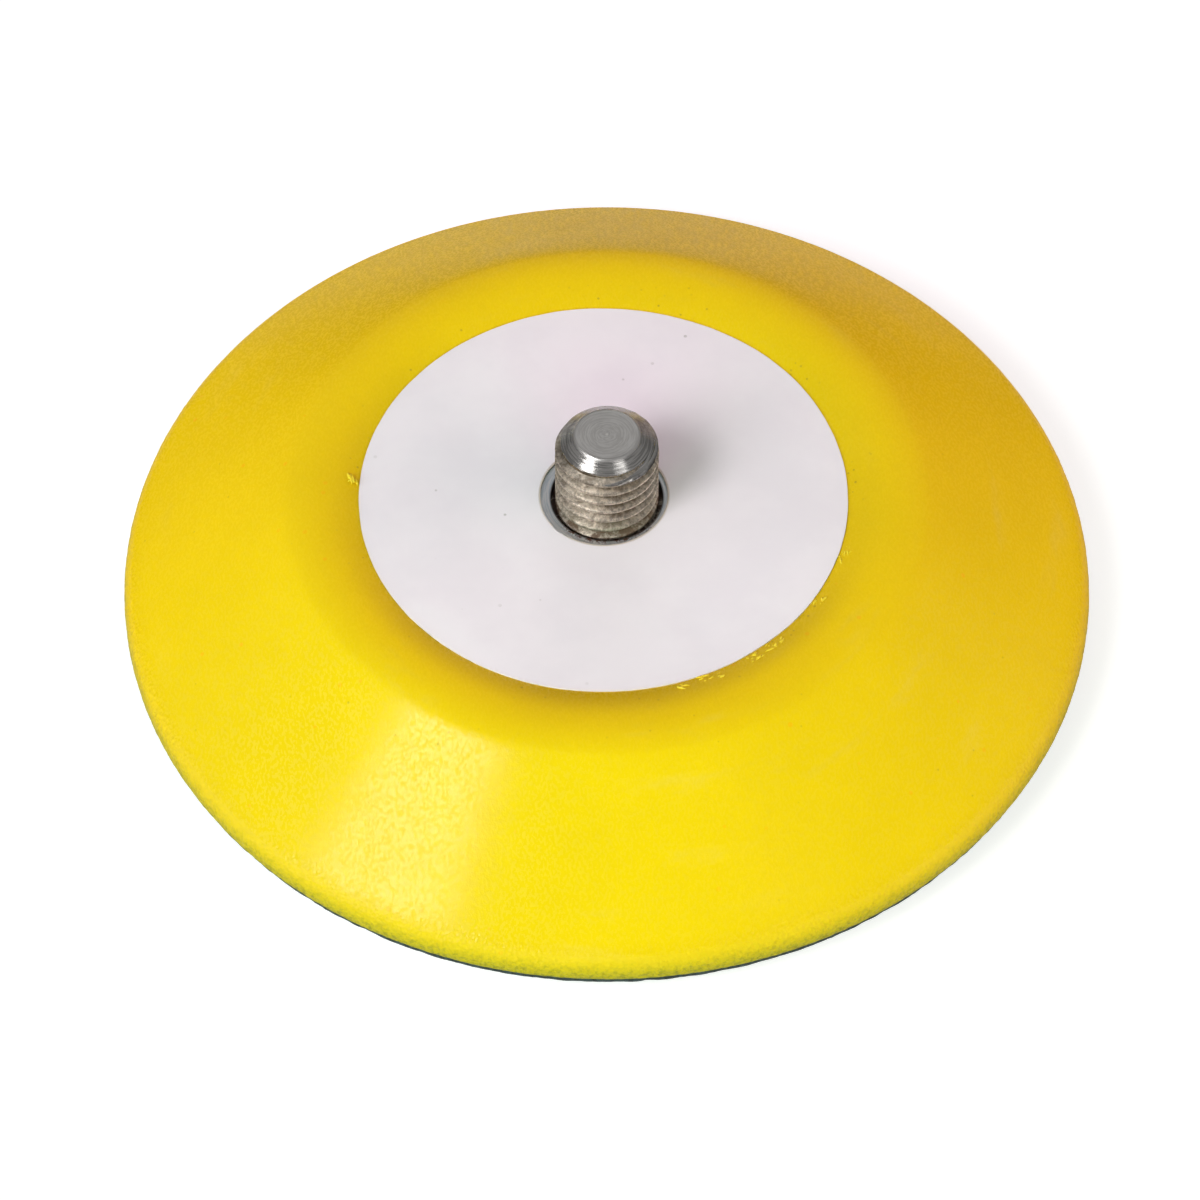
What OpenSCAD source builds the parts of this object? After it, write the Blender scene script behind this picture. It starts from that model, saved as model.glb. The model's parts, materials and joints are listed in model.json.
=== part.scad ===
// Backing pad for a rotary polisher: a moulded foam pad on a threaded stud, with a
// hook facing below. The pad stands on its hooks: z = 0 is the plane of the hook tips,
// and +Z runs up the stud. All sizes are in millimetres.

/* [Foam pad] */
// Diameter of the pad at its rim
pad_d = 75; // [73:0.5:90]
// Height of the foam, from the facing up to the top of the backing plate
pad_h = 10.5; // [10:0.05:13]
// Height of the upright edge of the rim
rim_h = 0.5; // [0.4:0.1:1.2]
// Radius of the round corner above that edge
rim_round = 2.2; // [1:0.1:3]
// Diameter of the line where the straight flank meets the shoulder
shoulder_d = 49.6; // [48.5:0.1:52]
// Height of that line above the backing plate
shoulder_rise = 0.15; // [0:0.05:0.3]
// Diameter of the crest of the raised bead round the label
crest_d = 44.3; // [43.5:0.1:45.5]
// Rise of the crest above the backing plate
crest_rise = 0.75; // [0.5:0.05:1]

/* [Backing plate] */
// Diameter of the glass-fibre plate buried in the foam
plate_d = 43; // [41:0.5:44]
// Thickness of the glass-fibre plate
plate_t = 2.4; // [2.2:0.1:2.8]

/* [Stud] */
// Major diameter of the 5/16 inch thread
thread_d = 7.938; // [7.5:0.001:8.4]
// Threads per inch
thread_tpi = 24; // [20:1:28]
// Height of the stud above the backing plate
stud_out = 7.55; // [6:0.05:16]
// Diameter of the flat end of the stud, inside its chamfer
stud_end_d = 4.84; // [4:0.02:6]
// Height of the chamfer
chamfer_h = 1.35; // [0.6:0.05:1.6]
// Diameter of the stud's flange, below the backing plate
flange_d = 26; // [24:0.5:28]
// Thickness of the flange
flange_t = 2; // [1.6:0.1:2.4]

/* [Clamp washer and rivets] */
// Diameter of the steel washer let into the backing plate
washer_d = 24; // [23:0.5:25]
// Thickness of the washer
washer_t = 1; // [0.8:0.1:1.2]
// Diameter of the hole in the washer
washer_hole_d = 8.6; // [8.5:0.1:9.2]
// Number of rivets
rivet_count = 6; // [3:1:8]
// Diameter of a rivet's shank
rivet_d = 3; // [2.4:0.1:3.2]
// Diameter of the circle that the rivets stand on
rivet_circle_d = 17.6; // [17:0.1:18.2]

/* [Label] */
// Diameter of the label
label_d = 37.4; // [34:0.1:38.4]
// Diameter of the hole in the label
label_hole_d = 9.8; // [9:0.1:10.4]
// Thickness of the label
label_t = 0.15; // [0.1:0.05:0.2]

/* [Hook facing] */
// How far the edge of the hook facing stands in from the edge of the pad
facing_inset = 0.3; // [0.3:0.1:2]
// Height of the hooks
hook_h = 1.4; // [1:0.1:2.2]
// Thickness of the woven cloth that carries the hooks
cloth_t = 0.5; // [0.3:0.1:0.8]
// Thickness of the glue between cloth and foam
glue_t = 0.2; // [0.1:0.05:0.3]

/* [Hidden] */
$fn = 96;

// heights, from the hook tips up
cloth_z = hook_h;
glue_z = cloth_z + cloth_t;
foam_z = glue_z + glue_t;
plate_top = foam_z + pad_h;
plate_z = plate_top - plate_t;
washer_z = plate_top - washer_t;
flange_z = plate_z - flange_t;
stud_top = plate_top + stud_out;

// the glue line is a shallow groove between the cloth's edge and the pad's edge
cloth_d = pad_d - 2 * facing_inset;
glue_d = cloth_d - 0.4;
hook_field_d = cloth_d - 0.2;

// inner edge of the foam lip that grips the rim of the plate
lip_d = 37.5;
lip_edge = 0.12;

// stud: collar in the plate, relieved neck, then a 60 degree thread
collar_d = 10;
pitch = 25.4 / thread_tpi;
thread_depth = 0.5413 * pitch;
crest_w = pitch / 8;
root_w = pitch / 4;
neck_d = thread_d - 2 * thread_depth - 0.1;
first_crest = plate_top + label_t + 0.25;
crest_count = ceil((stud_top - first_crest) / pitch);

// rivets: countersunk on top, closed with a low head below the flange
rivet_head_d = 1.6 * rivet_d;
rivet_head_h = 0.7;
rivet_tail_h = 0.8;

// points of an arc in the plane of the section, from angle a0 to a1
function arc(centre, r, a0, a1, steps) =
    [for (i = [0:steps]) let (a = a0 + (a1 - a0) * i / steps) centre + r * [cos(a), sin(a)]];

// radius of the circle that starts level and drops by rise over the width run
function roll_radius(run, rise) = (run * run + rise * rise) / (2 * rise);

// section of the foam: underside, upright edge, rounded corner, flank, then the bead
function foam_section() =
    let (
        edge_r = pad_d / 2,
        corner = [edge_r - rim_round, foam_z + rim_h],
        shoulder = [shoulder_d / 2, plate_top + shoulder_rise],
        crest = [crest_d / 2, plate_top + crest_rise],
        fall = shoulder - corner,
        slope = atan2(fall[1], -fall[0]) - asin(rim_round / norm(fall)),
        outer_run = shoulder[0] - crest[0],
        outer_r = roll_radius(outer_run, crest_rise - shoulder_rise),
        outer_turn = asin(outer_run / outer_r),
        inner_run = crest[0] - lip_d / 2,
        inner_r = roll_radius(inner_run, crest_rise - lip_edge),
        inner_turn = asin(inner_run / inner_r)
    )
    concat(
        [[0, foam_z], [edge_r - 0.3, foam_z], [edge_r, foam_z + 0.3]],
        arc(corner, rim_round, 0, 90 - slope, 5),
        arc(crest - [0, outer_r], outer_r, 90 - outer_turn, 90, 6),
        arc(crest - [0, inner_r], inner_r, 90, 90 + inner_turn, 6),
        [[lip_d / 2, plate_top], [0, plate_top]]
    );

// radius of the thread's groove and crest, ring by ring, up the stud
function thread_section() = [
    for (i = [0:crest_count - 1])
        let (z = first_crest + i * pitch, flank = (pitch - crest_w - root_w) / 2, r = thread_d / 2)
        each [
            [r - thread_depth, z - crest_w / 2 - flank],
            [r, z - crest_w / 2],
            [r, z + crest_w / 2],
            [r - thread_depth, z + crest_w / 2 + flank]
        ]
];

module on_rivet_circle() {
    for (i = [0:rivet_count - 1])
        rotate([0, 0, 360 * i / rivet_count]) translate([rivet_circle_d / 2, 0, 0]) children();
}

module disc(d, z, t) {
    translate([0, 0, z]) cylinder(d = d, h = t);
}

// the cone under a rivet's head, run on past its flat top by the height extra
module rivet_head(extra = 0) {
    flare = (rivet_head_d - rivet_d) / rivet_head_h;
    h = rivet_head_h + extra;
    translate([0, 0, plate_top - rivet_head_h]) cylinder(d1 = rivet_d, d2 = rivet_d + flare * h, h = h);
}

// one rivet, from its tail below the flange to its flush head
module rivet() {
    disc(rivet_d, flange_z, plate_top - flange_z);
    rivet_head();
    translate([0, 0, flange_z - rivet_tail_h])
        cylinder(d1 = rivet_head_d - 0.8, d2 = rivet_head_d, h = rivet_tail_h);
}

// the countersunk hole that a rivet fills, run on past the pieces at both ends
module rivet_hole() {
    disc(rivet_d, flange_z - 1, plate_top - flange_z + 1);
    rivet_head(extra = 1);
}

// flange, collar and neck of the stud, with its crests cut back by the end chamfer
module stud_body() {
    disc(flange_d, flange_z, flange_t);
    disc(collar_d, plate_z, plate_t - washer_t);
    rotate_extrude() intersection() {
        polygon(concat(
            [[0, plate_z], [neck_d / 2, plate_z], [neck_d / 2, first_crest - pitch / 2]],
            thread_section(),
            [[thread_d / 2 - thread_depth, stud_top + pitch], [0, stud_top + pitch]]
        ));
        polygon([
            [0, plate_z], [thread_d / 2, plate_z], [thread_d / 2, stud_top - chamfer_h],
            [stud_end_d / 2, stud_top], [0, stud_top]
        ]);
    }
}

module foam_pad() {
    color("gold") difference() {
        rotate_extrude() polygon(foam_section());
        disc(plate_d, plate_z, plate_t);
        translate([0, 0, plate_z]) cylinder(d = lip_d, h = pad_h);
        disc(flange_d, flange_z, flange_t + plate_t);
        on_rivet_circle() rivet();
    }
}

module backing_plate() {
    color("darkkhaki") difference() {
        disc(plate_d, plate_z, plate_t);
        disc(collar_d, plate_z - 1, plate_t + 2);
        disc(washer_d, washer_z, washer_t + 1);
        on_rivet_circle() rivet_hole();
    }
}

module threaded_stud() {
    color("silver") difference() {
        stud_body();
        on_rivet_circle() rivet_hole();
    }
}

module clamp_washer() {
    color("lightsteelblue") difference() {
        disc(washer_d, washer_z, washer_t);
        disc(washer_hole_d, washer_z - 1, washer_t + 2);
        on_rivet_circle() rivet_hole();
    }
}

module rivets() {
    color("gray") on_rivet_circle() rivet();
}

module label() {
    color("whitesmoke") difference() {
        disc(label_d, plate_top, label_t);
        disc(label_hole_d, plate_top - 1, label_t + 2);
    }
}

module facing_glue() {
    color("khaki") disc(glue_d, glue_z, glue_t);
}

module hook_cloth() {
    color("darkslategray") disc(cloth_d, cloth_z, cloth_t);
}

module hooks() {
    color("black") disc(hook_field_d, 0, hook_h);
}

foam_pad();
backing_plate();
threaded_stud();
clamp_washer();
rivets();
label();
facing_glue();
hook_cloth();
hooks();
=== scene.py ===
import json
import math
import random

import bmesh
import bpy
import numpy as np
from mathutils import Matrix, Vector, noise

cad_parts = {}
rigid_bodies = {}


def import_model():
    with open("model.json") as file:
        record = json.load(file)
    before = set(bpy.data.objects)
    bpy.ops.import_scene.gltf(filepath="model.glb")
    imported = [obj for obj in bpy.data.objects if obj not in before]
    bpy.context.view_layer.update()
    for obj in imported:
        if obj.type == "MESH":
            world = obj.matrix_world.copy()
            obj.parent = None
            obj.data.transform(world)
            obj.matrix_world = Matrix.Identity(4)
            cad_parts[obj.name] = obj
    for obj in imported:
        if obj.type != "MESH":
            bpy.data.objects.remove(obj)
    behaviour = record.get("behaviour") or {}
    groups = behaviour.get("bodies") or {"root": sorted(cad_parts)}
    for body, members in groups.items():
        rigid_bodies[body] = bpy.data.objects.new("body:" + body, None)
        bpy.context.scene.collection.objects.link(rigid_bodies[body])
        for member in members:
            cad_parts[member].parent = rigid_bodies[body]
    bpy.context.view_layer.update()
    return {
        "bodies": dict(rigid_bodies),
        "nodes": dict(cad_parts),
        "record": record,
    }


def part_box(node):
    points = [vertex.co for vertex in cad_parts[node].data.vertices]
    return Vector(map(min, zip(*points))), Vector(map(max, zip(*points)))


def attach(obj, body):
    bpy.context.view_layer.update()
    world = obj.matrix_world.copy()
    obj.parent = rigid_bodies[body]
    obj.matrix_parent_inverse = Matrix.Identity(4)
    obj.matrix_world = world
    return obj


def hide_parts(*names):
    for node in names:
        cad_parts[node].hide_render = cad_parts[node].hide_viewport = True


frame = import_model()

# ---------------------------------------------------------------- sizes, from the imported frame
MM = 0.001
BODY = next(iter(frame["bodies"]))
MOUNTS = {mount["name"]: mount for mount in frame["record"]["mounts"]}

FOAM_LO, FOAM_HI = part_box("foam_pad")
PLATE_LO, PLATE_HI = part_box("backing_plate")
LABEL_LO, LABEL_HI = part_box("label")
STUD_LO, STUD_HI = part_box("threaded_stud")
CLOTH_LO, CLOTH_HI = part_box("hook_cloth")
HOOKS_LO, HOOKS_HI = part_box("hooks")
WASHER_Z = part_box("clamp_washer")[0].z
RIVETS_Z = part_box("rivets")[0].z

PAD_R = FOAM_HI.x
FOAM_Z = FOAM_LO.z
CREST_Z = FOAM_HI.z
PLATE_TOP = PLATE_HI.z
PLATE_R = PLATE_HI.x
STUD_TOP = STUD_HI.z
FLANGE_R = STUD_HI.x
FLANGE_Z = STUD_LO.z
THREAD_R = MOUNTS["stud_thread"]["dims"]["r_mm"] * MM
THREAD_PITCH = 25.4 * MM / 24
THREAD_DEPTH = 0.5413 * THREAD_PITCH

# ---------------------------------------------------------------- sizes that the boxes don't give
# foam: the lip at the label's edge, the bead's crest, the crease below it and the rounded rim
LIP_RISE = 0.04 * MM
CREST_R = 22.15 * MM
SHOULDER = (24.8 * MM, PLATE_TOP + 0.15 * MM)
RIM_ROUND = 2.2 * MM
RIM_UPRIGHT = 0.5 * MM
FOOT_ROUND = 0.25 * MM

# the label was stuck on a little off centre, and its hole is off the other way
LABEL_R = LABEL_HI.x
LABEL_CENTRE = Vector((-0.25, 0.05)) * MM
HOLE_R = 4.87 * MM
HOLE_CENTRE = Vector((-0.22, 0.02)) * MM

# stud: the chamfer, the flat end inside it, and the collar in the plate
CHAMFER_H = 1.35 * MM
END_R = 2.42 * MM
COLLAR_R = 5.0 * MM
END_HOLLOW = 0.05 * MM   # how far the faced end lies below the top

WASHER_HOLE_R = 4.3 * MM
HOOK_PITCH = (1.25 * MM, 1.2 * MM)
HOOK_INSET = 1.15 * MM   # from the edge of the hooks' field to the outermost root
HOOK_BEND = 0.30 * MM
FILAMENT_R = 0.1 * MM


# ---------------------------------------------------------------- mesh helpers
def circle(steps):
    """Angles once round the axis."""
    return np.linspace(0, 2 * math.pi, steps, endpoint=False)


def ring(radius, z, angles, centre=(0.0, 0.0)):
    """One ring of points; radius and z are numbers or one value for each angle."""
    x = centre[0] + radius * np.cos(angles)
    y = centre[1] + radius * np.sin(angles)
    return np.stack([x, y, np.broadcast_to(z, x.shape)], axis=1)


def pole(z):
    """The single point that closes a surface on the axis."""
    return np.array([[0.0, 0.0, z]])


def skin(name, rings, closed=False, sharp=40):
    """A mesh object whose surface runs from ring to ring; closed joins the last to the first."""
    starts = np.cumsum([0] + [len(points) for points in rings])
    pairs = list(range(len(rings) - 1))
    faces = []
    if closed:
        pairs.append(len(rings) - 1)
    for i in pairs:
        j = (i + 1) % len(rings)
        a, b = starts[i], starts[j]
        steps = max(len(rings[i]), len(rings[j]))
        for k in range(steps):
            n = (k + 1) % steps
            if len(rings[i]) == 1:
                faces.append((a, b + k, b + n))
            elif len(rings[j]) == 1:
                faces.append((a + k, b, a + n))
            else:
                faces.append((a + k, b + k, b + n, a + n))
    mesh = bpy.data.meshes.new(name)
    mesh.from_pydata(np.concatenate(rings).tolist(), [], faces)
    return finish_mesh(name, mesh, sharp)


def finish_mesh(name, mesh, sharp=40):
    """Faces outwards, smooth shading with edges sharper than that many degrees kept."""
    work = bmesh.new()
    work.from_mesh(mesh)
    bmesh.ops.recalc_face_normals(work, faces=work.faces)
    work.to_mesh(mesh)
    work.free()
    mesh.polygons.foreach_set("use_smooth", [True] * len(mesh.polygons))
    mesh.set_sharp_from_angle(angle=math.radians(sharp))
    piece = bpy.data.objects.new(name, mesh)
    bpy.context.scene.collection.objects.link(piece)
    return piece


def arc(centre, radius, start, end, count):
    """Points (r, z) of a section's arc, angles in degrees from +r towards +z."""
    angles = np.radians(np.linspace(start, end, count))
    return [(centre[0] + radius * math.cos(a), centre[1] + radius * math.sin(a)) for a in angles]


def line(start, end, count):
    """Points (r, z) of a section's straight run, without its first point."""
    share = np.linspace(0, 1, count + 1)[1:]
    return [tuple(np.add(np.multiply(1 - s, start), np.multiply(s, end))) for s in share]


def smooth_step(value, low, high):
    """0 below low, 1 above high, smooth between; low may be above high."""
    t = np.clip((value - low) / (high - low), 0, 1)
    return t * t * (3 - 2 * t)


def fractal(x, y, z, scale, octaves=2, seed=0.0):
    """Smooth noise, about -1 to 1, at points given in metres."""
    p = Vector((x * scale + seed, y * scale - seed, z * scale + 2 * seed))
    return noise.fractal(p, 1.0, 2.0, octaves)


def place(piece, *nodes, slot=None, material=None):
    """piece rides on the pad, stands for those CAD nodes and takes a material; slot is not used."""
    if material:
        piece.data.materials.clear()
        piece.data.materials.append(material)
    if nodes:
        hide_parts(*nodes)
    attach(piece, BODY)
    return piece


# ---------------------------------------------------------------- shader helpers
class Shader:
    """A material under construction: a Principled surface and the nodes that drive it."""

    def __init__(self, name, **fixed):
        self.material = bpy.data.materials.new(name)
        self.material.use_nodes = True
        self.tree = self.material.node_tree
        self.surface = self.tree.nodes["Principled BSDF"]
        for socket, value in fixed.items():
            self.surface.inputs[socket.replace("_", " ")].default_value = value
        self.where = self.node("ShaderNodeTexCoord").outputs["Object"]
        self.x, self.y, self.z = self.node("ShaderNodeSeparateXYZ", {0: self.where}).outputs
        self.normal = None

    def node(self, kind, inputs=None, **settings):
        made = self.tree.nodes.new(kind)
        for name, value in settings.items():
            setattr(made, name, value)
        for key, value in (inputs or {}).items():
            self.feed(made.inputs[key], value)
        return made

    def feed(self, socket, value):
        if isinstance(value, bpy.types.NodeSocket):
            self.tree.links.new(value, socket)
        else:
            socket.default_value = value

    def drive(self, socket, value):
        """Links a value to one of the surface's sockets."""
        self.feed(self.surface.inputs[socket], value)

    def math(self, operation, a, b=0.0):
        return self.node("ShaderNodeMath", {0: a, 1: b}, operation=operation).outputs[0]

    def times(self, first, *others):
        """The product of the values."""
        for value in others:
            first = self.math("MULTIPLY", first, value)
        return first

    def without(self, value):
        """What value leaves of 1."""
        return self.math("SUBTRACT", 1.0, value)

    def vector(self, operation, inputs, output=0):
        return self.node("ShaderNodeVectorMath", inputs, operation=operation).outputs[output]

    def between(self, value, low, high, to_low=0.0, to_high=1.0):
        """value mapped smoothly from low..high to to_low..to_high."""
        made = self.node(
            "ShaderNodeMapRange",
            {"Value": value, "From Min": low, "From Max": high, "To Min": to_low, "To Max": to_high},
            interpolation_type="SMOOTHSTEP",
        )
        return made.outputs[0]

    def blend(self, share, a, b):
        """Two numbers mixed by share."""
        return self.node("ShaderNodeMix", {0: share, 2: a, 3: b}, data_type="FLOAT").outputs[0]

    def mix(self, share, a, b):
        """Two colours, each a red-green-blue triple or a socket, mixed by share."""
        made = self.node("ShaderNodeMix", {0: share}, data_type="RGBA")
        for key, colour in ((6, a), (7, b)):
            self.feed(made.inputs[key], (*colour, 1) if isinstance(colour, tuple) else colour)
        return made.outputs[2]

    def stretched(self, scale, turn=0.0):
        """Object coordinates scaled along each axis and turned about Z."""
        made = self.node("ShaderNodeMapping", {"Vector": self.where})
        made.inputs["Rotation"].default_value = (0, 0, turn)
        made.inputs["Scale"].default_value = scale
        return made.outputs[0]

    def noise(self, scale, detail=2.0, roughness=0.5, where=None, distortion=0.0):
        made = self.node(
            "ShaderNodeTexNoise",
            {"Vector": where or self.where, "Scale": scale, "Detail": detail,
             "Roughness": roughness, "Distortion": distortion},
        )
        return made.outputs["Fac"]

    def cells(self, scale, where=None):
        """Distance from the middle of the nearest cell."""
        made = self.node("ShaderNodeTexVoronoi", {"Vector": where or self.where, "Scale": scale})
        return made.outputs["Distance"]

    def flat(self):
        """Object coordinates with the height left out."""
        return self.vector("MULTIPLY", {0: self.where, 1: (1, 1, 0)})

    def from_axis(self, centre=(0.0, 0.0)):
        """Distance from a vertical line through centre."""
        shift = self.vector("SUBTRACT", {0: self.flat(), 1: (*centre, 0)})
        return self.vector("LENGTH", {0: shift}, "Value")

    def round_axis(self, along, across):
        """Coordinates for a pattern of rings round the axis: coarse along them, fine across."""
        turn = self.vector("NORMALIZE", {0: self.flat()})
        spread = self.vector("SCALE", {0: turn, 3: along})
        radius = self.times(self.from_axis(), across)
        rise = self.node("ShaderNodeCombineXYZ", {2: radius}).outputs[0]
        return self.vector("ADD", {0: spread, 1: rise})

    def bump(self, relief, depth, strength=1.0):
        """Adds a relief, depth metres deep, to the surface's normal."""
        made = self.node("ShaderNodeBump", {"Height": relief, "Distance": depth, "Strength": strength})
        if self.normal:
            self.feed(made.inputs["Normal"], self.normal)
        self.normal = made.outputs[0]
        self.drive("Normal", self.normal)


def specks(shader, scale, size, where=None):
    """Scattered round dots, 1 in a dot and 0 between; size is their radius as a share of a cell."""
    return shader.between(shader.cells(scale, where=where), size, size * 0.6)


# ---------------------------------------------------------------- materials
def foam_yellow(shader):
    """The skin's yellow: cloudy and finely mottled, with a few dark specks and orange freckles."""
    clouds = shader.between(shader.noise(90, detail=3), 0.3, 0.7)
    colour = shader.mix(clouds, (0.84, 0.575, 0.0), (0.88, 0.605, 0.0))
    mottle = shader.between(shader.noise(2600, detail=2), 0.35, 0.65, 0.0, 0.12)
    colour = shader.mix(mottle, colour, (0.78, 0.50, 0.0))
    dusty = shader.between(shader.noise(60), 0.46, 0.6)
    colour = shader.mix(shader.times(specks(shader, 560, 0.07), dusty, 0.3), colour, (0.30, 0.18, 0.0))
    spots = specks(shader, 420, 0.10, shader.stretched((1, 1, 1), 0.7))
    patches = shader.between(shader.noise(45, where=shader.stretched((1, 1, 1), 2.0)), 0.5, 0.62)
    return shader.mix(shader.times(spots, patches, 0.45), colour, (0.95, 0.42, 0.0))


def foam_dirt_and_shade(shader, colour):
    """Adds dust and painted shade on the bead's inner slope, most at the front, crumbs on that slope, and
    pale smears all round.
    """
    slope = shader.between(shader.from_axis(), LABEL_R + 3.0 * MM, LABEL_R + 0.3 * MM)
    # darker along the inner slope, most at the front: dust, and painted shade where the slope faces away
    # from the light
    dust_and_shade = shader.times(slope, shader.between(shader.y, -4 * MM, -15 * MM, 0.12, 0.45))
    colour = shader.mix(dust_and_shade, colour, (0.46, 0.29, 0.01))
    spots = specks(shader, 1300, 0.16, shader.stretched((1, 1, 1), 0.7))
    crumbs = shader.times(spots, shader.between(shader.noise(240), 0.45, 0.6), slope, 0.6)
    colour = shader.mix(crumbs, colour, (0.33, 0.19, 0.02))
    streaks = shader.noise(1, detail=4, roughness=0.65, where=shader.round_axis(2.2, 420))
    patches = shader.between(shader.noise(50), 0.4, 0.65)
    smears = shader.times(shader.between(streaks, 0.55, 0.72), patches, 0.10)
    return shader.mix(smears, colour, (0.90, 0.75, 0.30))


def foam_rim(shader, rim, colour):
    """Dulls the cut rim's yellow, darkens it towards its foot with grime and painted shade, and paints
    shade into its open cells.
    """
    foot = shader.between(shader.z, FOAM_Z + 2.0 * MM, FOAM_Z + 0.2 * MM)
    cell_shade = shader.between(shader.noise(2800, detail=3, roughness=0.65), 0.44, 0.66)
    depth = shader.between(shader.z, FOAM_Z + 2.2 * MM, FOAM_Z + 0.1 * MM, 0.0, 0.55)
    colour = shader.mix(shader.times(rim, 0.6), colour, (0.76, 0.50, 0.0))
    # darker towards the foot: grime and painted shade
    colour = shader.mix(shader.times(foot, 0.75), colour, (0.40, 0.33, 0.01))
    # painted shade in the open cells, deeper towards the foot
    return shader.mix(shader.times(cell_shade, depth), colour, (0.15, 0.14, 0.01))


def foam_material():
    """Yellow integral-skin foam: a smooth skin with dull grains, and open cut cells along the rim."""
    shader = Shader("foam_skin", Specular_IOR_Level=0.3)
    rim = shader.between(shader.z, FOAM_Z + 3.0 * MM, FOAM_Z + 1.4 * MM)
    shader.drive("Base Color", foam_rim(shader, rim, foam_dirt_and_shade(shader, foam_yellow(shader))))
    grain = shader.noise(3900, detail=2, roughness=0.6, where=shader.stretched((1.25, 0.7, 1), 0.6))
    shader.bump(grain, 0.014 * MM)
    shader.bump(shader.times(shader.cells(3200), rim), 0.07 * MM)
    satin = shader.between(grain, 0.46, 0.58, 0.09, 0.5)
    shader.drive("Roughness", shader.math("MAXIMUM", satin, shader.times(rim, 0.45)))
    return shader.material


def flash_material():
    """Torn shreds of the same foam, paler than its skin."""
    shader = Shader("foam_flash", Roughness=0.6, Specular_IOR_Level=0.3)
    shader.drive("Base Color", shader.mix(shader.noise(1500), (0.86, 0.62, 0.0), (0.93, 0.76, 0.08)))
    return shader.material


def label_material():
    """Plain coated paper: nearly white, faintly mottled, with a few specks of dust."""
    shader = Shader("label_paper", Specular_IOR_Level=0.3, Roughness=0.55)
    mottle = shader.between(shader.noise(110, detail=4, roughness=0.6), 0.35, 0.65)
    colour = shader.mix(mottle, (0.885, 0.83, 0.895), (0.925, 0.87, 0.93))
    dusty = shader.between(shader.noise(130), 0.46, 0.58)
    colour = shader.mix(shader.times(specks(shader, 380, 0.07), dusty, 0.5), colour, (0.25, 0.22, 0.2))
    hole = shader.from_axis(tuple(HOLE_CENTRE))
    # a brown band darkens the paper along the hole's edge
    brown_hole_edge = shader.between(hole, HOLE_R + 0.22 * MM, HOLE_R + 0.02 * MM, 0.0, 0.8)
    shader.drive("Base Color", shader.mix(brown_hole_edge, colour, (0.45, 0.36, 0.27)))
    shader.bump(shader.noise(140, detail=3, roughness=0.6, distortion=0.6), 0.12 * MM, 0.7)
    shader.bump(shader.noise(3000, detail=3), 0.004 * MM, 0.6)
    return shader.material


def stud_zones(shader, out):
    """Masks of the thread and of the flat end, for a surface that is out from the axis."""
    slant = (THREAD_R - END_R) / CHAMFER_H
    cone = shader.math("SUBTRACT", END_R + slant * STUD_TOP, shader.times(shader.z, slant))
    inside_cone = shader.between(shader.math("SUBTRACT", cone, out), 0.06 * MM, 0.12 * MM)
    below_end = shader.between(shader.z, STUD_TOP - 0.3 * MM, STUD_TOP - 0.5 * MM)
    on_end = shader.between(shader.z, STUD_TOP - 0.25 * MM, STUD_TOP - 0.1 * MM)
    return shader.times(inside_cone, below_end), on_end


def stud_grime(shader, out, on_thread, scuffs, steel):
    """Fills the thread's grooves with grime and rusts its foot; gives the colour and the rust's mask."""
    groove = shader.between(out, THREAD_R - 0.10 * MM, THREAD_R - 0.8 * THREAD_DEPTH)
    grime = shader.times(on_thread, groove, shader.between(scuffs, 0.0, 1.0, 0.25, 0.6))
    steel = shader.mix(grime, steel, (0.17, 0.14, 0.10))
    foot = shader.between(shader.z, PLATE_TOP + 2.0 * MM, PLATE_TOP - 0.4 * MM)
    rust = shader.times(foot, shader.between(scuffs, 0.0, 1.0, 0.15, 0.95))
    return shader.mix(rust, steel, (0.11, 0.055, 0.03)), rust


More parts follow.
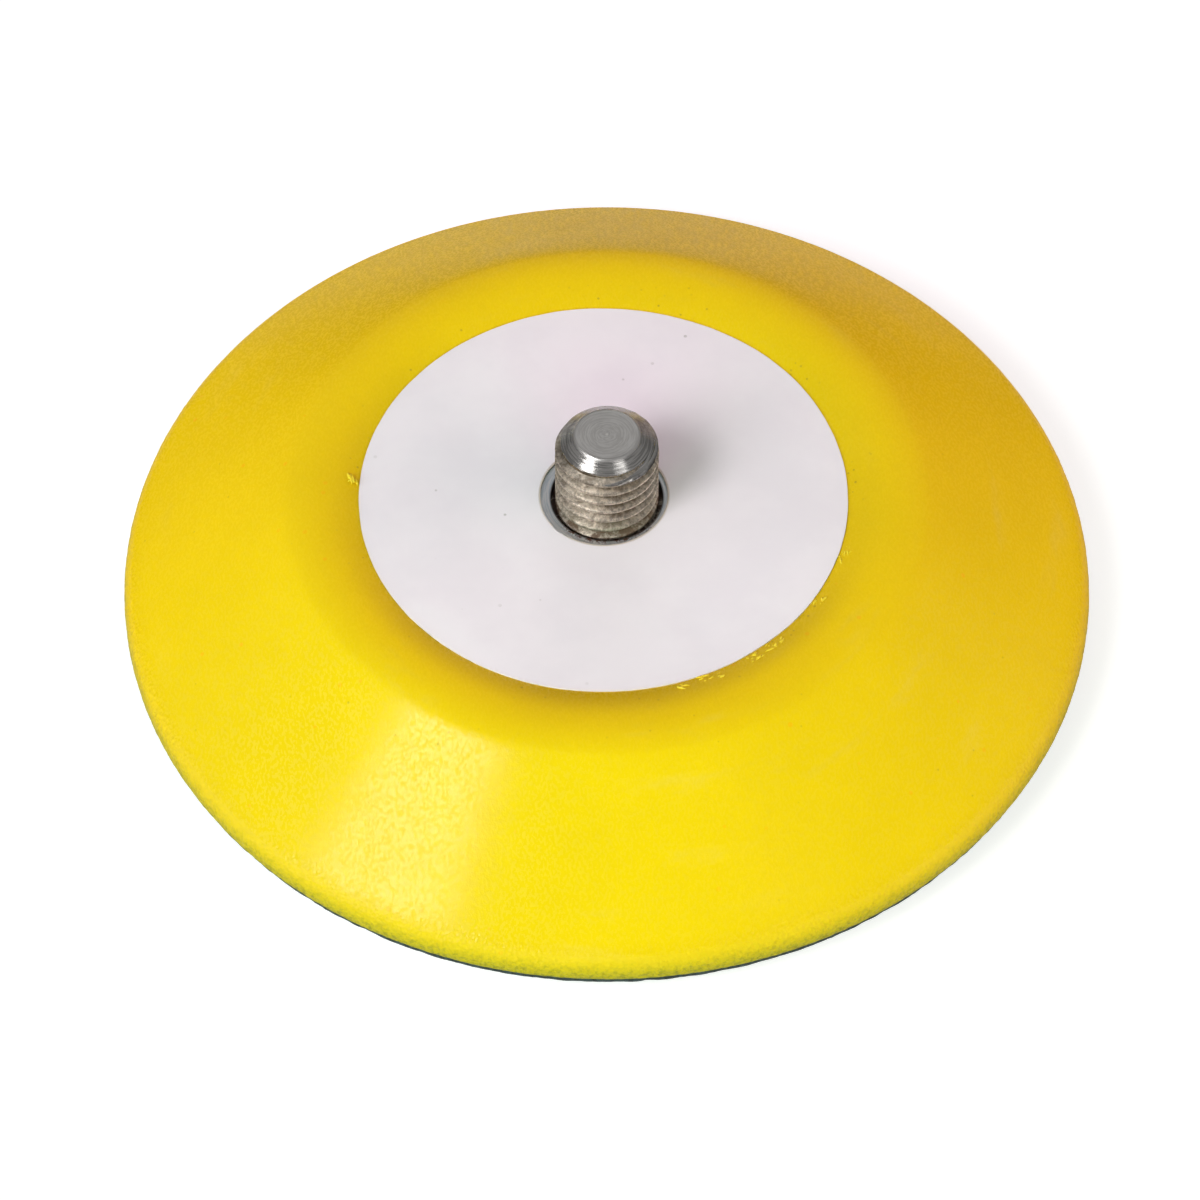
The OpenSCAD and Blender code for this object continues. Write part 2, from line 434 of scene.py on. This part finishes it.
def stud_material():
    """Turned steel: lathe rings on its end, a bright chamfer, a worn thread, and painted shade and dark
    reflection on a dull back.
    """
    shader = Shader("turned_steel")
    out = shader.from_axis()
    on_thread, on_end = stud_zones(shader, out)
    on_chamfer = shader.without(shader.math("MAXIMUM", on_thread, on_end))
    rings = shader.noise(1, detail=3, roughness=0.6, where=shader.round_axis(1.3, 9000))
    streaks = shader.noise(2600, detail=5, roughness=0.75, where=shader.stretched((1, 1, 0.5)))
    patches = shader.between(streaks, 0.36, 0.64)
    scuffs = shader.between(shader.noise(700, detail=4, roughness=0.7), 0.42, 0.6)

    clean = shader.mix(shader.noise(300), (0.66, 0.64, 0.61), (0.72, 0.70, 0.67))
    worn = shader.mix(patches, (0.40, 0.34, 0.27), (0.93, 0.83, 0.69))
    steel = shader.mix(on_thread, clean, worn)
    scored = shader.times(on_end, shader.between(rings, 0.4, 0.62), 0.7)
    steel = shader.mix(scored, steel, (0.90, 0.88, 0.85))
    pip = shader.between(out, 0.16 * MM, 0.06 * MM)
    steel = shader.mix(pip, steel, (1.0, 0.97, 0.92))
    # painted shade: a dark line in the crease where the chamfer meets the thread
    crease_z = STUD_TOP - CHAMFER_H
    crease = shader.times(shader.between(out, THREAD_R - 0.30 * MM, THREAD_R - 0.04 * MM),
                          shader.between(shader.z, crease_z - 0.5 * MM, crease_z + 0.1 * MM))
    steel = shader.mix(shader.times(crease, scuffs, 0.85), steel, (0.09, 0.07, 0.05))
    ringed = shader.times(on_chamfer, shader.between(rings, 0.56, 0.40), 0.6)
    steel = shader.mix(ringed, steel, (0.22, 0.21, 0.20))
    # painted shade and dark reflection on the back of the chamfer, which is made dull there
    back = shader.times(shader.between(shader.y, -0.5 * MM, 1.8 * MM),
                        shader.between(out, END_R, END_R + 0.15 * MM))
    back_shade = shader.times(back, shader.between(streaks, 0.35, 0.65, 0.75, 1.0))
    steel = shader.mix(back_shade, steel, shader.mix(patches, (0.10, 0.095, 0.09), (0.34, 0.33, 0.32)))
    steel, rust = stud_grime(shader, out, on_thread, scuffs, steel)
    shader.drive("Base Color", steel)

    coated = shader.math("MAXIMUM", shader.times(rust, 0.8), shader.times(back_shade, 0.85))
    shader.drive("Metallic", shader.without(coated))
    shader.drive("Roughness", shader.blend(on_end, shader.blend(on_thread, 0.19, 0.40), 0.33))
    turned = shader.noise(1, detail=2, where=shader.stretched((260, 260, 9000)))
    shader.bump(shader.times(rings, on_end), 0.022 * MM, 0.9)
    shader.bump(shader.times(turned, shader.without(on_end)), 0.008 * MM, 0.8)
    shader.bump(shader.times(shader.noise(6500, detail=3, roughness=0.6), on_thread), 0.045 * MM, 0.9)
    return shader.material


def zinc_material():
    """Zinc-plated steel, bluish, brushed in rings round the stud, with painted shade along its hole's edge
    and rust where water gathers.
    """
    shader = Shader("zinc_plate", Roughness=0.5)
    out = shader.from_axis()
    brushed = shader.noise(1, detail=4, roughness=0.65, where=shader.round_axis(2.2, 9000))
    zinc = shader.mix(shader.between(brushed, 0.32, 0.68), (0.66, 0.74, 0.80), (1.0, 1.0, 1.0))
    # painted shade along the hole's edge, in the gap round the stud
    inner = shader.between(out, WASHER_HOLE_R + 0.14 * MM, WASHER_HOLE_R, 0.0, 0.8)
    zinc = shader.mix(inner, zinc, (0.05, 0.04, 0.035))
    near_hole = shader.between(out, WASHER_HOLE_R + 0.45 * MM, WASHER_HOLE_R + 0.1 * MM)
    in_front = shader.between(shader.y, -2.4 * MM, -3.4 * MM)
    blotches = shader.between(shader.noise(1900, detail=4, roughness=0.7), 0.46, 0.56)
    rust = shader.times(near_hole, in_front, blotches)
    shader.drive("Base Color", shader.mix(rust, zinc, (0.07, 0.028, 0.014)))
    shader.drive("Metallic", shader.without(rust))
    shader.bump(brushed, 0.020 * MM, 0.9)
    return shader.material


def rivet_material():
    """Dull steel with a hammered grain."""
    shader = Shader("rivet_steel", Metallic=1.0, Roughness=0.4)
    grey = shader.mix(shader.noise(900, detail=3), (0.4, 0.39, 0.38), (0.62, 0.61, 0.6))
    shader.drive("Base Color", grey)
    shader.bump(shader.noise(1800, detail=2), 0.01 * MM, 0.6)
    return shader.material


def weave_relief(shader, threads_per_metre):
    """Plain weave: two sets of threads crossing, one over the other in turn."""
    turns = 2 * math.pi * threads_per_metre
    warp, weft = (shader.math("SINE", shader.times(axis, turns)) for axis in (shader.x, shader.y))
    across, along = (shader.math("SINE", shader.times(axis, turns / 2)) for axis in (shader.x, shader.y))
    over = shader.between(shader.times(across, along), -0.2, 0.2)
    under = shader.without(over)
    crossed = shader.math("MAXIMUM", shader.times(warp, over), shader.times(weft, under))
    return shader.between(crossed, -0.6, 1.0)


def laminate_material():
    """Glass-fibre cloth in resin: a plain weave under a dull tan surface."""
    shader = Shader("glass_laminate", Roughness=0.55, Specular_IOR_Level=0.4)
    weave = weave_relief(shader, 700)
    shader.drive("Base Color", shader.mix(weave, (0.36, 0.33, 0.17), (0.60, 0.56, 0.34)))
    shader.bump(weave, 0.04 * MM, 0.7)
    return shader.material


def glue_material():
    """Contact adhesive, tan and faintly glossy."""
    shader = Shader("contact_glue", Roughness=0.45)
    colour = shader.mix(shader.noise(300, detail=3), (0.50, 0.40, 0.12), (0.66, 0.55, 0.20))
    shader.drive("Base Color", colour)
    shader.bump(shader.noise(900, detail=2), 0.05 * MM, 0.8)
    return shader.material


def cloth_material():
    """Dark woven backing of the hooks, with a little blue-green in it."""
    shader = Shader("hook_cloth", Roughness=0.8, Sheen_Weight=0.1, Sheen_Roughness=0.5)
    weave = weave_relief(shader, 1500)
    shader.drive("Base Color", shader.mix(weave, (0.010, 0.014, 0.016), (0.035, 0.05, 0.055)))
    shader.bump(weave, 0.08 * MM, 0.9)
    return shader.material


def nylon_material():
    """Black nylon monofilament."""
    shader = Shader("hook_nylon", Roughness=0.32, Coat_Weight=0.15)
    colour = shader.mix(shader.noise(500, detail=2), (0.008, 0.011, 0.013), (0.03, 0.042, 0.045))
    shader.drive("Base Color", colour)
    shader.bump(shader.noise(9000, detail=1), 0.004 * MM, 0.5)
    return shader.material


# ---------------------------------------------------------------- outline of the label
def label_outline(angles):
    """Distance from the stud's axis to the label's outer edge, at each angle."""
    radius = []
    for a in angles:
        wobble = fractal(math.cos(a), math.sin(a), 0.0, 1.6, 3, seed=5.3)
        ragged = fractal(math.cos(a), math.sin(a), 0.0, 14, 2, seed=1.7)
        edge = LABEL_R + (0.06 * wobble + 0.02 * ragged) * MM
        offset = LABEL_CENTRE.x * math.cos(a) + LABEL_CENTRE.y * math.sin(a)
        radius.append(edge + offset)
    return np.array(radius)


# ---------------------------------------------------------------- foam pad
def rolled(start, end, count):
    """Section points of an arc that leaves start level and falls, or rises back, to end."""
    run, fall = abs(end[0] - start[0]), start[1] - end[1]
    radius = (run * run + fall * fall) / (2 * fall)
    turn = math.degrees(math.asin(run / radius))
    side = 90 - turn if end[0] > start[0] else 90 + turn
    return arc((start[0], start[1] - radius), radius, 90, side, count)


def foam_section():
    """The visible section, from the label's edge out over the bead, flank and rim to the underside."""
    crest = (CREST_R, CREST_Z)
    inner = rolled(crest, (LABEL_R, PLATE_TOP + LIP_RISE), 11)[::-1]
    outer = rolled(crest, SHOULDER, 8)[1:]
    corner = (PAD_R - RIM_ROUND, FOAM_Z + RIM_UPRIGHT)
    run, fall = corner[0] - SHOULDER[0], SHOULDER[1] - corner[1]
    slope = math.degrees(math.atan2(fall, run) - math.asin(RIM_ROUND / math.hypot(run, fall)))
    rim = arc(corner, RIM_ROUND, 90 - slope, 0, 20)
    flank = line(SHOULDER, rim[0], 16)
    crease = soften(outer[-2], SHOULDER, flank[1])
    upright = line((PAD_R, corner[1]), (PAD_R, FOAM_Z + FOOT_ROUND), 2)
    foot = arc((PAD_R - FOOT_ROUND, FOAM_Z + FOOT_ROUND), FOOT_ROUND, 0, -90, 4)
    return inner + outer[:-2] + crease + flank[2:] + rim[1:] + upright + foot[1:]


def soften(start, corner, end, count=6):
    """Section points of a curve from start to end that rounds off the corner between them."""
    points = []
    for t in np.linspace(0, 1, count):
        weights = ((1 - t) ** 2, 2 * t * (1 - t), t * t)
        points.append(tuple(sum(w * np.array(p) for w, p in zip(weights, (start, corner, end)))))
    return points


def rim_pits(points):
    """How deep the cut cells of the rim go in at each point, in metres; none above the rim."""
    depth = np.zeros(len(points))
    low = smooth_step(points[:, 2], FOAM_Z + 2.6 * MM, FOAM_Z + 0.8 * MM)
    for i in np.flatnonzero(low > 0.01):
        x, y, z = points[i]
        coarse = 0.5 + 0.5 * fractal(x, y, z, 900, 1, seed=2.0)
        fine = 0.5 + 0.5 * fractal(x, y, z, 2600, 2, seed=7.0)
        depth[i] = low[i] * (0.04 * coarse + 0.05 * fine) * MM
    return depth


def make_foam():
    """The moulded foam body, hollow where the plate and the stud's flange sit."""
    angles = circle(1320)
    edge = label_outline(angles)
    rings = [pole(FOAM_Z)]
    section = foam_section()
    under = [(0.5 * PAD_R, FOAM_Z), (0.9 * PAD_R, FOAM_Z)]
    for radius, z in under + section[::-1]:
        reach = (radius - LABEL_R) / (CREST_R - LABEL_R)
        if z > PLATE_TOP and reach < 1:
            radius = edge + reach * (CREST_R - edge)
        rings.append(ring(radius, z, angles))
    for i, points in enumerate(rings[3:], start=3):
        radius = np.hypot(points[:, 0], points[:, 1])
        dent = rim_pits(points)
        swell = np.array([fractal(x, y, z, 60, 2, seed=3.0) for x, y, z in points[::12]])
        swell = np.interp(angles, angles[::12], swell, period=2 * math.pi) * 0.03 * MM
        shift = np.minimum(swell, 0) * 0.5 - dent
        points[:, 0] *= 1 + shift / radius
        points[:, 1] *= 1 + shift / radius
        rings[i] = points
    rings.append(ring(edge, PLATE_TOP, angles))
    hollow = ((PLATE_R, PLATE_TOP), (PLATE_R, PLATE_LO.z), (FLANGE_R, PLATE_LO.z), (FLANGE_R, RIVETS_Z))
    for radius, z in hollow:
        rings.append(ring(radius, z, angles))
    rings.append(pole(RIVETS_Z))
    foam = skin("foam_body", rings, sharp=50)
    place(foam, "foam_pad", slot="foam", material=foam_material())
    make_flash()
    return foam


# where crumbs of moulding flash cling to the bead: angle in degrees, how many, spread in degrees
FLASH = ((-72, 5, 1.4), (-66, 8, 2.4), (-51, 18, 5.0), (-33, 5, 1.5), (-18, 12, 3.0), (176, 8, 1.0))


def bead_height(radius):
    """Height of the bead's inner slope at that radius."""
    run, fall = CREST_R - LABEL_R, CREST_Z - PLATE_TOP - LIP_RISE
    curve = (run * run + fall * fall) / (2 * fall)
    return CREST_Z - curve + math.sqrt(curve * curve - (CREST_R - radius) ** 2)


def make_flash():
    """Ragged crumbs of foam along the label's edge, each a little lump pulled out of shape."""
    pick = random.Random(11)
    work = bmesh.new()
    for angle, count, spread in FLASH:
        for _ in range(count):
            a = math.radians(angle + pick.uniform(-spread, spread))
            edge = LABEL_R + LABEL_CENTRE.x * math.cos(a) + LABEL_CENTRE.y * math.sin(a)
            radius = edge + pick.uniform(0.1, 0.9) * MM
            size = pick.uniform(0.05, 0.11) * MM
            middle = Vector((radius * math.cos(a), radius * math.sin(a), bead_height(radius) + 0.5 * size))
            turn = Matrix.Rotation(a + math.pi / 2 + pick.uniform(-0.6, 0.6), 3, "Z")
            lump = bmesh.ops.create_icosphere(work, subdivisions=2, radius=1.0)["verts"]
            stretch = pick.uniform(1.5, 4.5)
            seed = Vector((pick.uniform(0, 50), 0, 0))
            for vert in lump:
                x, y, z = vert.co * (1 + 0.5 * noise.fractal(vert.co * 1.3 + seed, 1.0, 2.0, 2))
                x *= stretch
                vert.co = middle + size * (turn @ Vector((x, y, z)))
    mesh = bpy.data.meshes.new("foam_flash")
    work.to_mesh(mesh)
    work.free()
    return place(finish_mesh("foam_flash", mesh, sharp=70), slot="foam", material=flash_material())


# ---------------------------------------------------------------- label
def hole_outline(angles):
    """Radius of the label's hole about its own centre: cut clean, but torn at the front left."""
    torn = math.radians(222)
    radius = []
    for a in angles:
        near = math.exp(-((math.remainder(a - torn, 2 * math.pi)) / 0.3) ** 2)
        ragged = fractal(math.cos(a), math.sin(a), 0.0, 5, 2, seed=4.4)
        radius.append(HOLE_R + (0.03 * ragged + near * (0.12 + 0.15 * ragged)) * MM)
    return np.array(radius)


def label_lift(x, y):
    """How far the label stands off the plate, in small waves."""
    return (0.5 + 0.5 * fractal(x, y, 0.0, 130, 2, seed=8.1)) * 0.08 * MM


def make_label():
    """The plain white label, one thin disc with an off-centre hole."""
    angles = circle(360)
    outer = label_outline(angles) - 0.01 * MM
    hole = hole_outline(angles)
    inner_x = HOLE_CENTRE.x + hole * np.cos(angles)
    inner_y = HOLE_CENTRE.y + hole * np.sin(angles)
    thick = LABEL_HI.z - LABEL_LO.z
    top, bottom = [], []
    for share in np.linspace(0, 1, 34):
        x = (1 - share) * inner_x + share * outer * np.cos(angles)
        y = (1 - share) * inner_y + share * outer * np.sin(angles)
        settled = smooth_step(share, 1.0, 0.85)
        lift = np.array([label_lift(a, b) for a, b in zip(x, y)]) * settled
        top.append(np.stack([x, y, LABEL_LO.z + thick + lift], axis=1))
        bottom.append(np.stack([x, y, LABEL_LO.z + 0.002 * MM + lift], axis=1))
    label = skin("label_disc", top + bottom[::-1], closed=True, sharp=35)
    return place(label, "label", slot="label", material=label_material())


# ---------------------------------------------------------------- threaded stud
def thread_profile(phase):
    """Depth below the crest, from 0 to 1, across one turn: flat crest, flank, flat root, flank."""
    across = np.abs((phase % 1.0) - 0.5) * 2          # 0 in the middle of the root, 1 at the crest
    return 1 - smooth_step(across, 0.20, 0.90)


def stud_radius(z, angles):
    """Radius of the threaded shank at height z: a right-hand helix inside the end chamfer."""
    phase = (z - PLATE_TOP) / THREAD_PITCH - angles / (2 * math.pi)
    radius = THREAD_R - THREAD_DEPTH * thread_profile(phase)
    if z > STUD_TOP - CHAMFER_H - THREAD_PITCH:
        share = (STUD_TOP - z) / CHAMFER_H
        radius = np.minimum(radius, END_R + share * (THREAD_R - END_R))
    wear = np.array([fractal(math.cos(a), math.sin(a), z / THREAD_R, 5, 3, seed=9.0) for a in angles])
    return radius - (0.5 + 0.5 * wear) * 0.05 * MM * (radius > THREAD_R - 0.6 * THREAD_DEPTH)


def make_stud():
    """The steel stud in one piece: end with the lathe's pip, chamfer, thread, collar and flange."""
    angles = circle(168)
    rings = [pole(STUD_TOP - 0.02 * MM)]
    for share in np.linspace(0.06, 0.97, 16):
        pip = END_HOLLOW * math.exp(-((share / 0.12) ** 2))
        rings.append(ring(share * END_R, STUD_TOP - END_HOLLOW + pip, angles))
    rings.append(ring(END_R - 0.02 * MM, STUD_TOP - 0.02 * MM, angles))
    for z in np.linspace(STUD_TOP - 0.06 * MM, WASHER_Z, 230):
        rings.append(ring(stud_radius(z, angles), z, angles))
    below = ((COLLAR_R, WASHER_Z), (COLLAR_R, PLATE_LO.z), (FLANGE_R, PLATE_LO.z), (FLANGE_R, FLANGE_Z))
    for radius, z in below:
        rings.append(ring(radius, z, angles))
    rings.append(pole(FLANGE_Z))
    stud = skin("stud", rings, sharp=32)
    return place(stud, "threaded_stud", slot="stud_steel", material=stud_material())


# ---------------------------------------------------------------- hook facing
def make_cloth():
    """The woven disc under the foam, its cut edge slightly uneven."""
    angles = circle(720)
    ragged = np.array([fractal(math.cos(a), math.sin(a), 0.0, 28, 3, seed=6.0) for a in angles])
    edge = CLOTH_HI.x - np.clip(0.25 + 0.6 * ragged, 0, 1) * 0.15 * MM
    middle = (CLOTH_LO.z + CLOTH_HI.z) / 2
    rings = [pole(CLOTH_HI.z)]
    for share in (0.3, 0.6, 0.9):
        rings.append(ring(share * edge, CLOTH_HI.z, angles))
    rings.append(ring(edge - 0.06 * MM, CLOTH_HI.z, angles))
    rings.append(ring(edge, middle, angles))
    rings.append(ring(edge - 0.06 * MM, CLOTH_LO.z, angles))
    for share in (0.9, 0.6, 0.3):
        rings.append(ring(share * edge, CLOTH_LO.z, angles))
    rings.append(pole(CLOTH_LO.z))
    cloth = skin("hook_cloth_disc", rings, sharp=60)
    place(cloth, "hook_cloth", slot="hook_cloth", material=cloth_material())
    return cloth


def hook_path(root, lean, height):
    """Points down one hook: straight out of the cloth, round the tip and part of the way back."""
    side = Vector((math.cos(lean), math.sin(lean), 0))
    straight = height - HOOK_BEND
    path = [Vector(root), Vector(root) - Vector((0, 0, straight))]
    centre = path[-1] + side * HOOK_BEND
    for turn in (45, 90, 140, 195):
        a = math.radians(turn)
        path.append(centre - HOOK_BEND * (side * math.cos(a) + Vector((0, 0, math.sin(a)))))
    return path


def tube(path, radius, sides, verts, faces):
    """Adds a capped tube along path to verts and faces."""
    first = len(verts)
    across = Vector((path[-1] - path[0]).xy.to_3d()).cross(Vector((0, 0, 1))).normalized()
    for i, point in enumerate(path):
        ahead = path[min(i + 1, len(path) - 1)] - path[max(i - 1, 0)]
        up = across.cross(ahead).normalized()
        for k in range(sides):
            a = 2 * math.pi * k / sides
            verts.append(point + radius * (math.cos(a) * across + math.sin(a) * up))
    for i in range(len(path) - 1):
        for k in range(sides):
            n = (k + 1) % sides
            a, b = first + i * sides, first + (i + 1) * sides
            faces.append((a + k, a + n, b + n, b + k))
    faces.append(tuple(first + k for k in range(sides))[::-1])
    faces.append(tuple(first + (len(path) - 1) * sides + k for k in range(sides)))


def make_hooks():
    """The field of hooks, in rows that lean in turn to one side and the other."""
    pick = random.Random(7)
    verts, faces = [], []
    height = HOOKS_HI.z - HOOKS_LO.z
    reach = HOOKS_HI.x - HOOK_INSET
    rows = int(reach / HOOK_PITCH[1])
    columns = int(reach / HOOK_PITCH[0])
    for row in range(-rows, rows + 1):
        for column in range(-columns, columns + 1):
            x = (column + 0.5 * (row % 2)) * HOOK_PITCH[0] + pick.uniform(-0.12, 0.12) * MM
            y = row * HOOK_PITCH[1] + pick.uniform(-0.1, 0.1) * MM
            lean = math.pi * (row % 2) + pick.uniform(-0.5, 0.5)
            tall = height - FILAMENT_R - pick.uniform(0, 0.12) * MM
            if math.hypot(x, y) < reach:
                root = (x, y, HOOKS_HI.z + 0.05 * MM)
                tube(hook_path(root, lean, tall + 0.05 * MM), FILAMENT_R, 4, verts, faces)
    mesh = bpy.data.meshes.new("hook_field")
    mesh.from_pydata([tuple(v) for v in verts], [], faces)
    hooks = finish_mesh("hook_field", mesh, sharp=70)
    return place(hooks, "hooks", slot="hook_nylon", material=nylon_material())


# ---------------------------------------------------------------- pieces kept from the CAD
def dress_cad_pieces():
    """The plate, rivets, glue and washer keep their CAD shape and get a material."""
    finishes = {
        "backing_plate": laminate_material,
        "rivets": rivet_material,
        "facing_glue": glue_material,
        "clamp_washer": zinc_material,
    }
    for node, material in finishes.items():
        mesh = frame["nodes"][node].data
        mesh.materials.clear()
        mesh.materials.append(material())


# ---------------------------------------------------------------- studio
FLOOR_HALF = 1.5         # metres from the middle of the table to its edge
FLOOR_NEAR = 0.60        # grey of the table round the pad
FLOOR_FAR = 0.06         # and well away from it, so that little light comes back from there
DOME = (0.145, 0.09, 0.13, 1)    # soft light from everywhere above
REFLECTED_LOW = 0.12     # what glossy surfaces see at the horizon
REFLECTED_FRONT = 0.24   # and high up, before and behind the pad
REFLECTED_BACK = 0.38


def floor_material():
    """Grey for the light that falls on it, and with a glow, for the camera alone, that makes it white."""
    shader = Shader("floor_white", Roughness=0.9, Specular_IOR_Level=0.1)
    shader.surface.inputs["Emission Color"].default_value = (1, 1, 1, 1)
    far = shader.between(shader.from_axis(), 1.15 * PAD_R, 2.0 * PAD_R)
    shader.drive("Base Color", shader.mix(far, (FLOOR_NEAR,) * 3, (FLOOR_FAR,) * 3))
    seen = shader.node("ShaderNodeLightPath").outputs["Is Camera Ray"]
    shader.drive("Emission Strength", shader.times(seen, shader.blend(far, 0.66, 1.0)))
    return shader.material


def make_floor():
    """The table under the pad, just clear of the hooks' tips."""
    mesh = bpy.data.meshes.new("floor")
    corners = [(x * FLOOR_HALF, y * FLOOR_HALF, 0) for x, y in ((-1, -1), (1, -1), (1, 1), (-1, 1))]
    mesh.from_pydata(corners, [], [(0, 1, 2, 3)])
    mesh.materials.append(floor_material())
    floor = bpy.data.objects.new("floor", mesh)
    bpy.context.scene.collection.objects.link(floor)
    floor.location.z = -0.02 * MM


class Sky:
    """Nodes of the world that give a strength from the direction of a ray."""

    def __init__(self, tree):
        self.tree = tree
        ray = tree.nodes.new("ShaderNodeTexCoord").outputs["Generated"]
        split = tree.nodes.new("ShaderNodeSeparateXYZ")
        tree.links.new(ray, split.inputs[0])
        self.back, self.up = split.outputs["Y"], split.outputs["Z"]

    def feed(self, socket, value):
        if isinstance(value, bpy.types.NodeSocket):
            self.tree.links.new(value, socket)
        else:
            socket.default_value = value

    def ramp(self, value, low, high, to_low, to_high):
        made = self.tree.nodes.new("ShaderNodeMapRange")
        for key, number in (("Value", value), ("From Min", low), ("From Max", high),
                            ("To Min", to_low), ("To Max", to_high)):
            self.feed(made.inputs[key], number)
        return made.outputs[0]

    def shade(self, colour, strength):
        made = self.tree.nodes.new("ShaderNodeBackground")
        self.feed(made.inputs["Color"], colour)
        self.feed(made.inputs["Strength"], strength)
        return made.outputs[0]

    def mix(self, share, a, b):
        made = self.tree.nodes.new("ShaderNodeMixShader")
        for socket, value in zip(made.inputs, (share, a, b)):
            self.feed(socket, value)
        return made.outputs[0]


def make_world():
    """A white room to the camera, but a dim one to the pad, which the panels light."""
    world = bpy.data.worlds.new("studio")
    bpy.context.scene.world = world
    world.use_nodes = True
    tree = world.node_tree
    tree.nodes.clear()
    sky = Sky(tree)
    white = (1, 1, 1, 1)
    high = sky.ramp(sky.back, -0.5, 0.5, REFLECTED_FRONT, REFLECTED_BACK)
    mirrored = sky.shade(white, sky.ramp(sky.up, 0.0, 0.75, REFLECTED_LOW, high))
    path = tree.nodes.new("ShaderNodeLightPath")
    lit = sky.mix(path.outputs["Is Glossy Ray"], sky.shade(DOME, 1.0), mirrored)
    seen = sky.mix(path.outputs["Is Camera Ray"], lit, sky.shade(white, 1.0))
    out = tree.nodes.new("ShaderNodeOutputWorld")
    tree.links.new(seen, out.inputs[0])


def direction(left, up):
    """Unit vector from the pad towards a light, in degrees left of the front and above the table."""
    a, e = math.radians(left), math.radians(up)
    return Vector((-math.sin(a) * math.cos(e), -math.cos(a) * math.cos(e), math.sin(e)))


def softbox(name, left, up, width, height, light, seen=True, tint=(1, 1, 1)):
    """A soft rectangular light facing the pad.

    light is what it gives a surface turned to it, 1 being white; seen tells whether it is mirrored.
    """
    distance = 1.0 if seen else 2.0
    panel = bpy.data.lights.new(name, "AREA")
    panel.shape = "RECTANGLE"
    panel.size = 2 * distance * math.tan(math.radians(width / 2))
    panel.size_y = 2 * distance * math.tan(math.radians(height / 2))
    panel.energy = light * math.pi ** 2 * distance ** 2
    panel.color = tint
    lamp = bpy.data.objects.new(name, panel)
    bpy.context.scene.collection.objects.link(lamp)
    towards = direction(left, up)
    lamp.location = Vector((0, 0, PLATE_TOP)) + towards * distance
    lamp.rotation_mode = "QUATERNION"
    lamp.rotation_quaternion = towards.to_track_quat("Z", "Y")
    lamp.visible_camera = False
    lamp.visible_glossy = seen
    return lamp


def make_lights():
    """Angles in degrees: left of the front, above the table, width and height of each panel."""
    softbox("window", 54, 48, 21, 16, 0.25)
    softbox("key", 47, 32, 24, 22, 0.39, seen=False, tint=(0.98, 0.98, 0.96))
    softbox("front", 5, 18, 60, 30, 0.59, seen=False, tint=(0.36, 1.0, 0.56))
    softbox("reflector", -36, 40, 22, 9, 0.03)
    softbox("left", 76, 15, 60, 26, 0.46, seen=False, tint=(1.0, 0.98, 0.95))
    softbox("right", -79, 15, 66, 26, 0.87, seen=False, tint=(1.0, 0.79, 0.73))
    softbox("back", 180, 12, 38, 22, 0.36, seen=False)


CAMERA_DISTANCE = 0.46946
CAMERA_ELEVATION = math.radians(52.18)
CAMERA_LENS = 181
# where the camera aims, a little left of the axis and nearer than it, at the foam's underside
CAMERA_AIM = Vector((-0.52 * MM, -1.88 * MM, FOAM_Z))


def make_camera():
    """A long lens that looks down at the pad from the front, as in the photo."""
    camera = bpy.data.objects.new("camera", bpy.data.cameras.new("camera"))
    bpy.context.scene.collection.objects.link(camera)
    camera.data.lens = CAMERA_LENS
    camera.data.sensor_width = 36
    camera.data.clip_start, camera.data.clip_end = 0.01, 20
    back = Vector((0, -math.cos(CAMERA_ELEVATION), math.sin(CAMERA_ELEVATION)))
    camera.location = Vector((0, 0, FOAM_Z)) + back * CAMERA_DISTANCE
    camera.rotation_mode = "QUATERNION"
    camera.rotation_quaternion = (CAMERA_AIM - camera.location).to_track_quat("-Z", "Y")
    bpy.context.scene.camera = camera


bpy.context.scene.view_settings.view_transform = "Standard"
make_camera()
make_world()
make_lights()
make_floor()
dress_cad_pieces()
make_foam()
make_label()
make_stud()
make_cloth()
make_hooks()
